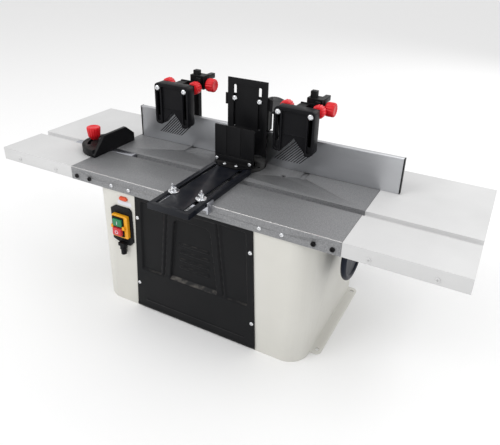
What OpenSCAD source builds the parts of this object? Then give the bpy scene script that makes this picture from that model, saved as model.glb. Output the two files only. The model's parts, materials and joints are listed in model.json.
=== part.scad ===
// Bench-top router table: a cast main table with two folded extension trays on a
// sheet-metal cabinet, with a motor lift, a split fence, two comb pressers, a top
// guard, a front shoe and a mitre gauge. The origin is on the floor under the middle
// of the table. X runs along the tables, Y to the back and Z up.

/* [Tables] */
// Height of the table tops above the floor
table_h = 310; // [300:1:330]
// Width of the main table
table_w = 610; // [606:1:620]
// Depth of all the tables
table_d = 360; // [360:1:364]
// Width of each extension table
ext_w = 210; // [200:1:260]
// Depth of the aprons round the tables
apron_h = 29; // [28:1:32]
// Distance from the middle to the mitre slot, towards the front
mitre_off = 60.5; // [58:0.5:62]
// Width of the mitre slot
mitre_w = 19; // [19:0.5:20]

/* [Cabinet] */
// Half width of the cabinet over its legs
leg_x = 250; // [248:1:252]
// Radius of the cabinet's front corners
leg_r = 45; // [30:1:50]
// Spacing of the foot holes along X
foot_dx = 521; // [518:1:526]
// Spacing of the foot holes along Y
foot_dy = 226; // [220:1:230]
// Radius of the foot holes
foot_hole_r = 4.5; // [3:0.25:5]

/* [Lift] */
// Radius of the motor can
motor_r = 43; // [38:1:43]
// Distance of the spindle behind the middle of the table
spindle_y = 25; // [24:1:26]
// Radius of the handwheel
wheel_r = 65; // [50:1:66]
// Height of the handwheel's shaft above the floor
shaft_z = 210; // [208:1:211]

/* [Fence] */
// Height of the fence faces
fence_h = 76; // [60:1:80]
// Front of the fence faces, measured back from the middle
fence_y = 52.7; // [52:0.1:54]
// Outside radius of the dust port
port_r = 50; // [40:1:50]

/* [Hidden] */
$fn = 48;

sides = [-1, 1];
zt = table_h;
hw = table_w / 2;
hd = table_d / 2;
end_x = hw + ext_w;
mitre_y = -mitre_off;
top_t = 8;
skirt_t = 6;
sheet = 2;
gap = 0.3;
fit = 0.05;
cut = 1;
slot_depth = 9;

// Screws along the aprons
apron_screw_x = [150, 195];
rail_screw_x = [255, 290];
tray_screw_x = [353, 464];
screw_z = zt - 19;
screw_r = 2.4;

// Cabinet
leg_front = -177;
leg_back = 120;
leg_top = zt - apron_h;
foot_w = 2 * (foot_dx / 2 - leg_x);
panel_top = leg_top - 1;
panel_low = 3;
panel_top_w = 137;
panel_low_w = 150;
rear_half_w = 240;
function panel_half(z) =
    panel_low_w + (panel_top_w - panel_low_w) * (z - panel_low) / (panel_top - panel_low);
panel_screw_z = [zt - 78, zt - 243];
panel_screw_in = 6.5;

// Switch on the left leg
switch_y = -180;
switch_x0 = -193.5;
switch_x1 = -164.5;
switch_z0 = 179.5;
switch_z1 = 224.5;
button_x = -179;
button_w = 23;
button_h = 17;
start_z = 212;
stop_z = 191.5;
reset_x = -168;
reset_z = 266;
gland_x = -174;
gland_y = -184;

// Motor lift
column_x = 72;
column_y = 50;
column_r = 8;
screw_x = 72;
screw_y = -30;
shaft_r = 6;
bush_r = 10;
carriage_z0 = 104;
carriage_z1 = 132;
wheel_x = 282;
crank_y = screw_y + 52;
crank_z = shaft_z + 2;
pin_r = 4;

// Fence
slot_x = 146;
slot_w = 14;
slot_front = 17;
slot_back = 152;
clamp_y = 104;
web_y = fence_y + 10.3;
fence_z = zt + 0.4;
hood_w = 54;
hood_front = web_y + 5.3;
hood_back = 148;
port_z = zt + 62;
hood_top = zt + 114;

// Top guard
guard_x = 48;
guard_y = 43;
guard_low = zt + 20.5;
guard_top = zt + 184;
guard_bolt_x = 30;
guard_bolt_z = zt + 140;

// Front shoe
shoe_x = 45;
shoe_front = -250;
shoe_back = -15;
shoe_top = zt + 12;
shoe_slot_x = 31;
stud_y = -187;
stud_r = 3;

// Pressers: [post x, clamp knob height, comb centre x, comb bottom], left then right
presser = [[-147, zt + 149, -168, zt + 63], [139, zt + 141, 128, zt + 59]];
post_y = 74.5;
post_half = 6.5;
bar_dx = 15;
bar_dz = 11.5;
bar_half = 5.5;
bar_back = 118;
comb_half = 44;
comb_h = 94;
comb_t = 26;
comb_bolt_dx = 35;
comb_bolt_dz = 83;
plate_front = comb_t + 0.5;
plate_back = plate_front + 4;
neck_back = 57.5;

// Mitre gauge
pivot_x = -304;
gauge_knob_x = -348;
gauge_arc_r = pivot_x - gauge_knob_x;
gauge_base_r = 60;
gauge_base_h = 16;
pivot_r = 3.8;

// ---- Shapes used by many parts ----

// A block between two corners
module slab(x0, x1, y0, y1, z0, z1)
    translate([x0, y0, z0]) cube([x1 - x0, y1 - y0, z1 - z0]);

// Round bars along each axis
module rod_x(x0, x1, y, z, r)
    translate([x0, y, z]) rotate([0, 90, 0]) cylinder(h = x1 - x0, r = r);
module rod_y(x, y0, y1, z, r)
    translate([x, y1, z]) rotate([90, 0, 0]) cylinder(h = y1 - y0, r = r);
module rod_z(x, y, z0, z1, r)
    translate([x, y, z0]) cylinder(h = z1 - z0, r = r);

// An outline drawn in X and Z, made solid between two Y planes
module along_y(y0, y1)
    translate([0, y1, 0]) rotate([90, 0, 0]) linear_extrude(y1 - y0) children();

// An outline drawn in Y and Z, made solid between two X planes
module along_x(x0, x1)
    translate([x0, 0, 0]) rotate([90, 0, 90]) linear_extrude(x1 - x0) children();

// A rectangle with round corners, between two corners
module round_rect(x0, x1, y0, y1, r) {
    translate([x0 + r, y0]) square([x1 - x0 - 2 * r, y1 - y0]);
    translate([x0, y0 + r]) square([x1 - x0, y1 - y0 - 2 * r]);
    for (x = [x0 + r, x1 - r], y = [y0 + r, y1 - r])
        translate([x, y]) circle(r);
}

// A slot with round ends along the second direction
module slot_2d(x, y0, y1, w) {
    translate([x - w / 2, y0 + w / 2]) square([w, y1 - y0 - w]);
    for (y = [y0 + w / 2, y1 - w / 2])
        translate([x, y]) circle(w / 2);
}

module upright_slot(x, y0, y1, z0, z1, w)
    along_y(y0, y1) slot_2d(x, z0, z1, w);

module flat_slot(x, y0, y1, z0, z1, w)
    translate([0, 0, z0]) linear_extrude(z1 - z0) slot_2d(x, y0, y1, w);

// A pan-head screw whose head stands on a face that looks towards -Y (way 1) or +Y (-1)
module pan_screw(x, face_y, z, head_r, head_h, reach, way = 1) {
    y_head = face_y - way * head_h;
    y_tip = face_y + way * reach;
    rod_y(x, min(y_head, face_y), max(y_head, face_y), z, head_r);
    rod_y(x, min(face_y, y_tip), max(face_y, y_tip), z, screw_r);
}

// ---- Tables ----

module main_table() color("dimgray") {
    difference() {
        union() {
            slab(-hw, hw, -hd, hd, zt - top_t, zt);
            difference() {
                slab(-hw, hw, -hd, hd, zt - apron_h, zt - cut);
                slab(-hw + skirt_t, hw - skirt_t, -hd + skirt_t, hd - skirt_t,
                    zt - apron_h - cut, zt);
            }
            slab(-hw + cut, hw - cut, mitre_y - 17, mitre_y + 17, zt - 15, zt - cut);
            for (s = sides)
                rod_z(s * column_x, column_y, zt - 24, zt - cut, 14);
        }
        slab(-hw - cut, hw + cut, mitre_y - mitre_w / 2, mitre_y + mitre_w / 2,
            zt - slot_depth, zt + cut);
        rod_z(0, spindle_y, zt - top_t - cut, zt + cut, 48);
        rod_z(0, spindle_y, zt - 4, zt + cut, 55);
        rod_z(108, 13, zt - top_t - cut, zt + cut, 5);
        for (s = sides) {
            flat_slot(s * slot_x, slot_front, slot_back, zt - 3, zt + cut, slot_w);
            flat_slot(s * slot_x, slot_front + 40, slot_back, zt - top_t - cut, zt + cut, slot_w);
            rod_z(s * column_x, column_y, zt - 25, zt - top_t, column_r);
            for (x = concat(apron_screw_x, rail_screw_x)) {
                rod_y(s * x, -hd - cut, -hd + skirt_t + cut, screw_z, 2.5);
                rod_y(s * x, hd - skirt_t - cut, hd + cut, screw_z, 2.5);
            }
            for (t = sides)
                rail_notch(s, t, hw - skirt_t - cut, hw + cut);
        }
    }
}

// Clearance for a rail where it passes the skirts of a table
module rail_notch(s, t, x0, x1)
    slab(min(s * x0, s * x1), max(s * x0, s * x1), t > 0 ? 168.4 : -174.4,
        t > 0 ? 174.4 : -168.4, zt - apron_h - cut, zt - 9.5);

module table_insert() color("#1a1a1c") difference() {
    rod_z(0, spindle_y, zt - 4, zt, 54.7);
    rod_z(0, spindle_y, zt - 5, zt + cut, 30);
    for (s = sides)
        rod_z(s * 43, spindle_y, zt - 5, zt + cut, 2.5);
}

module extension() difference() {
    union() {
        difference() {
            slab(hw + gap, end_x, -hd, hd, zt - apron_h, zt);
            slab(hw + gap + sheet, end_x - sheet, -hd + sheet, hd - sheet,
                zt - apron_h - cut, zt - sheet);
        }
        slab(hw + gap, end_x, mitre_y - mitre_w / 2 - sheet, mitre_y + mitre_w / 2 + sheet,
            zt - slot_depth - sheet, zt - cut);
    }
    slab(hw, end_x + cut, mitre_y - mitre_w / 2, mitre_y + mitre_w / 2,
        zt - slot_depth, zt + cut);
    for (x = tray_screw_x, t = sides)
        rod_y(x, t * hd - 3, t * hd + 3, screw_z, 2.5);
    for (t = sides)
        rail_notch(1, t, hw, hw + 4);
}

module left_extension() color("whitesmoke") mirror([1, 0, 0]) extension();
module right_extension() color("whitesmoke") extension();

module extension_rails() color("gray")
    for (s = sides, t = sides)
        difference() {
            slab(s > 0 ? 252 : -480, s > 0 ? 480 : -252, t > 0 ? 168.9 : -173.9,
                t > 0 ? 173.9 : -168.9, zt - 27, zt - 10);
            for (x = concat(rail_screw_x, tray_screw_x))
                rod_y(s * x, t * 171 - 6, t * 171 + 6, screw_z, 2.5);
        }

// ---- Cabinet ----

// Outline of a leg seen from above, shrunk by the given amount
module leg_outline(inset) {
    r = leg_r - inset;
    xc = leg_x - leg_r;
    yc = leg_front + leg_r;
    translate([60, leg_front + inset]) square([xc - 60, leg_back - leg_front - 2 * inset]);
    translate([xc, yc]) square([leg_r - inset, leg_back - yc - inset]);
    translate([xc, yc]) circle(r);
}

module leg_sheet() difference() {
    leg_outline(0);
    leg_outline(sheet);
    translate([0, -160]) square([leg_x - 20, 400]);
}

module foot_flange() difference() {
    linear_extrude(2.5) difference() {
        round_rect(leg_x - 24, leg_x + foot_w, -127, 127, 11);
        translate([leg_x - 30, -140]) square([30 - sheet, 280]);
    }
    for (t = sides)
        rod_z(foot_dx / 2, t * foot_dy / 2, -cut, 4, foot_hole_r);
}

// The panel's slanted outline, drawn in from its edges
module panel_outline(inset, z0, z1)
    polygon([[-panel_half(z0) + inset, z0], [panel_half(z0) - inset, z0],
        [panel_half(z1) - inset, z1], [-panel_half(z1) + inset, z1]]);

module leg() difference() {
    union() {
        linear_extrude(leg_top) leg_sheet();
        translate([0, 0, leg_top - cut]) linear_extrude(apron_h - top_t + cut)
            intersection() {
                leg_sheet();
                translate([0, leg_front + leg_r]) square([leg_x, 400]);
            }
        slab(leg_x - 26, leg_x - cut, -100, 100, zt - top_t - sheet, zt - top_t);
        slab(142, 203, leg_front + sheet - 0.5, -172, 262, 280);
        slab(142, 203, -174, -172, 262, 300);
        foot_flange();
    }
    slab(leg_x - 30, leg_x + cut, mitre_y - 18, mitre_y + 18, zt - 15.5, zt);
    along_y(leg_front - cut, leg_front + sheet + cut)
        panel_outline(12, -5, leg_top + 5);
    for (z = [20, 140, 260])
        rod_y(234, leg_back - sheet - cut, leg_back + cut, z, 2.5);
    for (x = apron_screw_x)
        rod_y(x, -176, -170, screw_z, 2.5);
    for (z = panel_screw_z)
        rod_y(panel_half(z) - panel_screw_in, leg_front - cut, leg_front + 4, z, 2.5);
}

module left_leg() color("ivory") difference() {
    mirror([1, 0, 0]) leg();
    slab(switch_x0 - 1, switch_x1 + 1, leg_front - cut, leg_front + 3, switch_z0 - 1,
        switch_z1 + 1);
    along_y(leg_front - cut, -169)
        round_rect(reset_x - 10.3, reset_x + 10.3, reset_z - 4.3, reset_z + 4.3, 4.2);
}

module right_leg() color("ivory") difference() {
    leg();
    rod_x(leg_x - 4, leg_x + cut, screw_y, shaft_z, bush_r);
}

// A strip of the front panel whose sides lean like the panel's own
module panel_trapezoid(low_w, top_w, z0, z1)
    polygon([[-low_w, z0], [low_w, z0], [top_w, z1], [-top_w, z1]]);

module front_panel() color("#1c1c1e") {
    sheet_front = leg_front - 2;
    field_front = sheet_front + 4;
    deep_front = sheet_front + 8.5;
    field_z = zt - 199;
    difference() {
        union() {
            along_y(sheet_front, leg_front - 0.1) panel_outline(0, panel_low, panel_top);
            along_y(sheet_front + 1, field_front + 2)
                panel_outline(12.5, field_z - 2, zt - 36);
            along_y(sheet_front + 1, deep_front + 2)
                panel_trapezoid(82, 63, field_z - 2, zt - 36);
        }
        along_y(sheet_front - cut, field_front) panel_outline(15, field_z, zt - 38);
        along_y(sheet_front + 2.5, deep_front) panel_trapezoid(60, 42, field_z, zt - 57);
        for (s = sides, z = panel_screw_z)
            rod_y(s * (panel_half(z) - panel_screw_in), sheet_front - cut, leg_front + cut,
                z, 2.5);
    }
    along_y(sheet_front + 1.5, field_front + cut) difference() {
        panel_trapezoid(80, 61, field_z - 1, zt - 37);
        panel_trapezoid(60, 42, field_z - 2, zt - 57);
    }
    for (z = [zt - 115, zt - 133, zt - 152, zt - 170])
        along_y(deep_front - 2.2, deep_front + cut)
            round_rect(-36, 36, z - 3.5, z + 3.5, 3);
    along_y(sheet_front - 1.2, sheet_front + cut)
        panel_trapezoid(124, 124, 24, 28);
}

module rear_panel() color("#1c1c1e") difference() {
    slab(-rear_half_w, rear_half_w, leg_back + 0.1, leg_back + 1.6, panel_low, leg_top - 2);
    for (s = sides, i = [0:8])
        along_y(leg_back - cut, leg_back + 3)
            round_rect(s * 70 - 45, s * 70 + 45, 70 + 14 * i, 76 + 14 * i, 2.9);
    for (s = sides, z = [20, 140, 260])
        rod_y(s * 234, leg_back - cut, leg_back + 3, z, 2.5);
}

module pan_screws() color("silver") {
    for (s = sides) {
        for (z = panel_screw_z)
            pan_screw(s * (panel_half(z) - panel_screw_in), leg_front - 2, z, 4.2, 2.6, 6);
        for (x = apron_screw_x)
            pan_screw(s * x, -hd, screw_z, 4, 2.4, 10);
        for (z = [20, 140, 260])
            pan_screw(s * 234, leg_back + 1.6, z, 4.2, 2.6, 3, -1);
    }
}

module rail_screws() color("#202020")
    for (s = sides, t = sides, x = concat(rail_screw_x, tray_screw_x))
        pan_screw(s * x, t * hd, screw_z, 4.6, 3, 12, -t);

// ---- Switch ----

module switch_plate() color("#181818") difference() {
    union() {
        along_y(switch_y, leg_front)
            polygon([[-204, 163], [-182, 155], [-158, 155], [-148, 166], [-148, 241],
                [-154, 247], [-190, 247], [-204, 238]]);
        slab(switch_x0, switch_x1, -190, leg_front + 5, switch_z0, switch_z1);
        slab(switch_x0 - 2.5, switch_x1 + 2.5, leg_front + sheet, -142, switch_z0 - 2.5,
            switch_z1 + 2.5);
        slab(gland_x - 9, gland_x + 9, -191, leg_front, 155, 163);
    }
    for (z = [start_z, stop_z])
        slab(button_x - button_w / 2 - gap, button_x + button_w / 2 + gap, -191,
            leg_front, z - button_h / 2 - gap, z + button_h / 2 + gap);
    rod_z(gland_x, gland_y, 150, 160, 3.5);
}

module switch_housing() color("gold") difference() {
    along_y(-188, switch_y) round_rect(-196, -155, 176, 229, 3);
    slab(switch_x0 - 0.1, switch_x1 + 0.1, -189, switch_y + cut, switch_z0 - 0.1,
        switch_z1 + 0.1);
}

module cable_gland() color("#181818") difference() {
    union() {
        translate([gland_x, gland_y, 147]) cylinder(h = 8, r = 8, $fn = 6);
        rod_z(gland_x, gland_y, 134, 148, 6);
    }
    rod_z(gland_x, gland_y, 133, 156, 3.5);
}

module push_button(z, front, back)
    along_y(front, back)
        round_rect(button_x - button_w / 2, button_x + button_w / 2, z - button_h / 2,
            z + button_h / 2, 2);

module start_button() color("seagreen") push_button(start_z, -193, -181);
module stop_button() color("crimson") push_button(stop_z, -196, -181);

module reset_button() color("orangered")
    along_y(-181, -170)
        round_rect(reset_x - 10, reset_x + 10, reset_z - 4, reset_z + 4, 3.9);

// ---- Motor lift ----

module guide_columns() color("silver") difference() {
    union() {
        for (s = sides)
            rod_z(s * column_x, column_y, 50, zt - top_t, column_r);
        translate([0, 0, 50]) linear_extrude(8) round_rect(-90, 90, -46, 66, 8);
    }
    rod_z(screw_x, screw_y, 49, 59, shaft_r + fit);
}

module gear_bracket() color("gray") difference() {
    union() {
        slab(screw_x + 34, screw_x + 40, -43, -17, 173, zt - top_t);
        slab(screw_x - 14, screw_x + 40, -43, -17, 173, 179);
        slab(screw_x + 34, screw_x + 66, -43, -17, zt - top_t - 4, zt - top_t);
    }
    rod_x(screw_x + 33, screw_x + 41, screw_y, shaft_z, shaft_r + fit);
    rod_z(screw_x, screw_y, 172, 180, shaft_r + fit);
}

module shaft_bush() color("darkgoldenrod") difference() {
    union() {
        rod_x(leg_x - 8, leg_x + 8, screw_y, shaft_z, bush_r);
        rod_x(leg_x, leg_x + 3, screw_y, shaft_z, bush_r + 5);
    }
    rod_x(leg_x - 9, leg_x + 9, screw_y, shaft_z, shaft_r + fit);
}

module motor_carriage() color("slategray") difference() {
    union() {
        slab(-column_x, column_x, column_y - 13, column_y + 13, carriage_z0, carriage_z1);
        slab(38, screw_x + 14, screw_y, column_y, carriage_z0, carriage_z1);
        rod_z(screw_x, screw_y, carriage_z0, carriage_z1, 14);
        rod_z(0, spindle_y, carriage_z0, carriage_z1, motor_r + 8);
        for (s = sides)
            rod_z(s * column_x, column_y, carriage_z0, carriage_z1, 14);
    }
    rod_z(0, spindle_y, carriage_z0 - cut, carriage_z1 + cut, motor_r + fit);
    rod_z(screw_x, screw_y, carriage_z0 - cut, carriage_z1 + cut, shaft_r + fit);
    for (s = sides)
        rod_z(s * column_x, column_y, carriage_z0 - cut, carriage_z1 + cut,
            column_r + fit);
}

module motor() color("#2a2a2c") difference() {
    union() {
        rod_z(0, spindle_y, 68, 204, motor_r);
        rod_z(0, spindle_y, 203, 229, 22);
    }
    rod_z(0, spindle_y, 210, 230, 8 + fit);
    for (z = [142, 152, 162, 172, 182, 192])
        translate([0, spindle_y, z]) difference() {
            cylinder(h = 5, r = motor_r + cut);
            translate([0, 0, -cut]) cylinder(h = 7, r = motor_r - 3);
        }
    for (a = [0:30:330])
        rotate_about_spindle(a) slab(24, 36, -2, 2, 67, 74);
}

module rotate_about_spindle(a)
    translate([0, spindle_y, 0]) rotate([0, 0, a]) children();

// The screw turns in the lift's base and its bracket, and a bevel wheel tops it
module lead_screw() color("silver") {
    rod_z(screw_x, screw_y, 50, 200, shaft_r);
    rod_z(screw_x, screw_y, 58 + gap, 63, 9);
    rod_z(screw_x, screw_y, 179 + gap, 190, 12);
    translate([screw_x, screw_y, 190]) cylinder(h = 10, r1 = 19.6, r2 = 9.6);
}

module cross_shaft() color("silver") {
    rod_x(screw_x + 10, 296, screw_y, shaft_z, shaft_r);
    rod_x(screw_x + 20, screw_x + 30, screw_y, shaft_z, 12);
    translate([screw_x + 10, screw_y, shaft_z]) rotate([0, 90, 0])
        cylinder(h = 10, r1 = 9.6, r2 = 19.6);
}

module handwheel() color("#1d2230") difference() {
    union() {
        translate([wheel_x, screw_y, shaft_z]) rotate([0, 90, 0])
            rotate_extrude() {
                translate([wheel_r - 6, 6]) circle(6);
                translate([0, 4]) square([wheel_r - 6, 4]);
                translate([0, -8]) square([15, 22]);
            }
        rod_x(wheel_x - 2, wheel_x + 8, crank_y, crank_z, 8);
        rod_x(wheel_x, 332, crank_y, crank_z, pin_r);
        rod_x(330, 333, crank_y, crank_z, 6.5);
    }
    rod_x(wheel_x - 20, 297, screw_y, shaft_z, shaft_r);
}

module crank_handle() color("#1d2230") difference() {
    translate([0, crank_y, crank_z]) rotate([0, 90, 0]) rotate_extrude()
        polygon([[0, 294.6], [8, 294.6], [9.5, 300], [10, 312], [9, 324], [7, 329.5],
            [0, 329.5]]);
    rod_x(292, 331, crank_y, crank_z, pin_r + fit);
}

module spindle() color("silver") difference() {
    union() {
        rod_z(0, spindle_y, 211, 259, 8);
        rod_z(0, spindle_y, 231, 237, 11);
    }
    rod_z(0, spindle_y, 245, 260, 4);
}

module collet_nut() color("gray") difference() {
    union() {
        translate([0, spindle_y, 245]) cylinder(h = 12, r = 13, $fn = 6);
        rod_z(0, spindle_y, 257, 263, 11);
    }
    rod_z(0, spindle_y, 244, 259, 8);
    rod_z(0, spindle_y, 258, 264, 4);
}

module cutter() color("silver") {
    rod_z(0, spindle_y, 247, 270, 4);
    rod_z(0, spindle_y, 268, 290, 8);
    for (a = [20, 200])
        rotate_about_spindle(a) slab(0, 13.5, -2, 1.5, 270, 288);
}

// ---- Fence ----

module gusset(x)
    translate([x, 0, 0]) along_x(-2, 2)
        polygon([[web_y + 4, zt + 4], [130, zt + 4], [130, zt + 9], [web_y + 4, zt + 60]]);

// Two angles joined behind the hood, with the square posts of the pressers
module fence_base() color("#222224") {
    difference() {
        union() {
            slab(-290, 290, web_y, web_y + 5, fence_z, zt + 70);
            slab(-185, 185, web_y, 166, fence_z, fence_z + 5);
        }
        slab(-hood_w - 1, hood_w + 1, hood_front - 6, hood_back + 1, fence_z - cut, zt + 80);
        for (s = sides)
            rod_z(s * slot_x, clamp_y, fence_z - cut, fence_z + 6, 4 + fit);
    }
    for (s = sides) {
        gusset(s * 100);
        gusset(s * 180);
        for (x = [90, 230]) {
            rod_y(s * x, web_y - 2.4, web_y + cut, zt + 36, stud_r);
            rod_y(s * x, web_y - 4.8, web_y - 2.3, zt + 36, 5.6);
        }
    }
    for (p = presser) {
        slab(p[0] - post_half, p[0] + post_half, post_y - post_half, post_y + post_half,
            fence_z + 4, zt + (p[0] < 0 ? 179 : 175));
        slab(p[0] - 14, p[0] + 14, web_y + 4, post_y + 10, fence_z + 4, fence_z + 12);
    }
}

module dust_hood() color("#1a1a1c") {
    difference() {
        union() {
            slab(-hood_w, hood_w, hood_front, hood_back, zt + 0.6, hood_top);
            rod_y(0, hood_back - cut, 192, port_z, port_r);
        }
        slab(-hood_w + 3, hood_w - 3, hood_front - cut, hood_back - 3, zt, hood_top - 3);
        rod_y(0, hood_back - 4, 193, port_z, port_r - 3);
    }
}

module guard_bracket() color("#222224") difference() {
    union() {
        slab(-50, 50, guard_y + 3.5, guard_y + 6.5, zt + 78, zt + 150);
        for (s = sides)
            slab(s > 0 ? 47 : -50, s > 0 ? 50 : -47, guard_y + 3.5, 66, zt + 78, zt + 150);
        slab(-50, 50, guard_y + 3.5, 100, hood_top + 0.1, hood_top + 3);
        slab(-57, 57, guard_y + 6, guard_y + 9, zt + 122, zt + 147);
    }
    for (s = sides)
        rod_y(s * guard_bolt_x, guard_y, guard_y + 12, guard_bolt_z, stud_r + fit);
}

module guard_screws() color("silver")
    for (s = sides) {
        rod_y(s * guard_bolt_x, guard_y - 3.4, guard_y - gap, guard_bolt_z, 6);
        rod_y(s * guard_bolt_x, guard_y - cut, guard_y + 14, guard_bolt_z, stud_r);
    }

module guard_plate() color("#202024") difference() {
    slab(-guard_x, guard_x, guard_y, guard_y + 3, guard_low, guard_top);
    for (s = sides)
        upright_slot(s * guard_bolt_x, guard_y - cut, guard_y + 4, zt + 77, zt + 170, 7);
}

// A fence face with a lip along its top and a T-slot along its back
module fence_face(x0, x1) difference() {
    union() {
        slab(x0, x1, fence_y, fence_y + 10, fence_z, zt + fence_h);
        slab(x0, x1, fence_y - 1, fence_y + 4, zt + fence_h - 3, zt + fence_h);
    }
    slab(x0 - cut, x1 + cut, fence_y + 5, fence_y + 8.4, zt + 30, zt + 42);
    slab(x0 - cut, x1 + cut, fence_y + 8, fence_y + 11, zt + 32.5, zt + 39.5);
}

module left_fence() color("lightgray") fence_face(-296, -40);
module right_fence() color("lightgray") fence_face(44, 342);

// A clamp knob with its stud and the washer that bears under the table
module fence_knob(s) {
    rod_z(s * slot_x, clamp_y, fence_z + 5 + gap, fence_z + 12, 10);
    rod_z(s * slot_x, clamp_y, fence_z + 10, fence_z + 27, 18);
    rod_z(s * slot_x, clamp_y, zt - 22, fence_z + 20, 4);
    rod_z(s * slot_x, clamp_y, zt - 14, zt - top_t - 0.5, 13);
}

module left_fence_knob() color("#1a1a1c") fence_knob(-1);
module right_fence_knob() color("#1a1a1c") fence_knob(1);

// ---- Front shoe ----

module shoe_guide() color("silver") {
    slab(-40, 40, -194, -hd, zt - 4, zt);
    slab(-48, 48, -183, -hd, zt - 14, zt - 1);
    for (s = sides) {
        x0 = s > 0 ? shoe_x + 0.8 : -shoe_x - 3.8;
        slab(x0, x0 + 3, -193, -hd, zt - 14, zt + 9);
        slab(x0, x0 + 3, -hd - cut, -172, zt + gap, zt + 9);
        rod_z(s * shoe_slot_x, stud_y, zt - 2, zt + 26, stud_r);
    }
}

module shoe_carrier() color("#16181c") difference() {
    slab(-shoe_x, shoe_x, shoe_front, shoe_back, zt + gap, shoe_top);
    slab(-shoe_x + 3, shoe_x - 3, shoe_front + 3, shoe_back + cut, zt - cut, shoe_top - 3);
    for (s = sides)
        flat_slot(s * shoe_slot_x, shoe_front + 10, shoe_back - 15, zt, shoe_top + cut, 8);
    for (s = sides)
        rod_z(s * 14, -26, shoe_top - 4, shoe_top + cut, 2.5);
}

module shoe_angle() color("#1a1a1c") difference() {
    union() {
        translate([0, 0, shoe_top]) linear_extrude(3)
            polygon([[-44, -12], [44, -12], [44, -17], [22, -37], [-22, -37], [-44, -17]]);
        slab(-44, 44, -15, -12, shoe_top, shoe_top + 17);
    }
    for (s = sides) {
        rod_y(s * 40, -16, -11, shoe_top + 8, 2.5);
        rod_z(s * 14, -26, shoe_top - cut, shoe_top + 4, 2.5);
    }
}

module shoe_plate() color("#1a1a1c") difference() {
    slab(-47, 47, -12, -8, shoe_top, zt + 95);
    for (s = sides) {
        slab(s * 17 - 1.5, s * 17 + 1.5, -13, -11, shoe_top + 20, zt + 96);
        rod_y(s * 40, -13, -7, shoe_top + 8, 2.5);
    }
}

module shoe_screws() color("silver")
    for (s = sides) {
        pan_screw(s * 40, -15, shoe_top + 8, 4, 2.8, 7);
        rod_z(s * 14, -26, shoe_top + 3, shoe_top + 5.8, 4);
        rod_z(s * 14, -26, shoe_top - 3, shoe_top + 4, screw_r);
    }

module wing_nut(s) difference() {
    union() {
        rod_z(s * shoe_slot_x, stud_y, shoe_top + gap, shoe_top + 2, 11);
        rod_z(s * shoe_slot_x, stud_y, shoe_top + 1.5, shoe_top + 10, 5.5);
        translate([s * shoe_slot_x, stud_y, 0]) rotate([0, 0, s > 0 ? 117 : -35])
            along_y(-1.2, 1.2)
            polygon([[-4, shoe_top + 3], [4, shoe_top + 3], [12.5, shoe_top + 9],
                [12, shoe_top + 13], [8.5, shoe_top + 13.5], [4, shoe_top + 9],
                [-4, shoe_top + 9], [-8.5, shoe_top + 13.5], [-12, shoe_top + 13],
                [-12.5, shoe_top + 9]]);
    }
    rod_z(s * shoe_slot_x, stud_y, shoe_top, shoe_top + 20, stud_r + fit);
}

module left_wing_nut() color("silver") wing_nut(-1);
module right_wing_nut() color("silver") wing_nut(1);

// ---- Pressers ----

// The block that slides on the post and holds the bar
module clamp(p) difference() {
    slab(p[0] - 11, p[0] + 25, 62, 87, p[1] - 10, p[1] + bar_dz + 9);
    slab(p[0] - post_half - gap, p[0] + post_half + gap, post_y - post_half - gap,
        post_y + post_half + gap, p[1] - 11, p[1] + 30);
    slab(p[0] + bar_dx - bar_half - gap, p[0] + bar_dx + bar_half + gap, 61, 88,
        p[1] + bar_dz - bar_half - gap, p[1] + bar_dz + bar_half + gap);
    rod_x(p[0], p[0] + 26, post_y, p[1], stud_r + fit);
}

module clamp_knob(p) {
    rod_x(p[0] + 25 + gap, p[0] + 29, post_y, p[1], 8);
    rod_x(p[0] + 28, p[0] + 48, post_y, p[1], 15);
    rod_x(p[0] + post_half + gap, p[0] + 40, post_y, p[1], stud_r);
}

// Bar, cross plate and bolt plate, with the two bolts that carry the comb
module arm(p) {
    bar_x = p[0] + bar_dx;
    bar_z = p[1] + bar_dz;
    bolt_z = p[3] + comb_bolt_dz;
    slab(bar_x - bar_half, bar_x + bar_half, neck_back - 4, bar_back, bar_z - bar_half,
        bar_z + bar_half);
    slab(p[2] - 10, bar_x + bar_half, neck_back - 4, neck_back, bolt_z - 9,
        bolt_z + 11);
    slab(p[2] - 10, p[2] + 10, plate_front, neck_back, bolt_z - 4, bolt_z + 9);
    slab(p[2] - comb_half + 2, p[2] + comb_half - 2, plate_front, plate_back, bolt_z - 9,
        bolt_z + 9);
    for (s = sides) {
        rod_y(p[2] + s * comb_bolt_dx, -3.4, -gap, bolt_z, 6.2);
        rod_y(p[2] + s * comb_bolt_dx, -cut, 50, bolt_z, stud_r);
    }
}

// The comb's body: two legs with slots, joined over an arched opening, and slanted fingers
module comb(p) {
    z0 = p[3];
    translate([p[2], 0, z0]) {
        difference() {
            along_y(0, comb_t) difference() {
                round_rect(-comb_half, comb_half, 0, comb_h, 9);
                polygon([[-29, -1], [29, -1], [0, 32]]);
            }
            slab(-26, 26, -cut, 5, -cut, comb_h - 8);
            for (s = sides) {
                upright_slot(s * comb_bolt_dx, -cut, 4.6, 6, comb_h - 5, 9);
                upright_slot(s * comb_bolt_dx, -cut, comb_t + cut, 20,
                    comb_bolt_dz + 3.8, 6.8);
            }
        }
        slab(-26, 26, 3.6, 5.5, 37, 38.5);
        for (i = [0:9]) {
            tip = -48 + 6.4 * i;
            rise = max(30, 29 + (3 - tip) / 1.9);
            along_y(17.5, 21.5)
                polygon([[tip, -26], [tip + 2.4, -26], [tip + 2.4 + rise, -26 + rise],
                    [tip + rise, -26 + rise]]);
        }
    }
}

module comb_knob(p, s) {
    x = p[2] + s * comb_bolt_dx;
    z = p[3] + comb_bolt_dz;
    difference() {
        union() {
            rod_y(x, plate_back + gap, plate_back + 4, z, 8);
            rod_y(x, plate_back + 3, 52.5, z, 14);
        }
        rod_y(x, plate_back, 50.5, z, stud_r + fit);
    }
}

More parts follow.
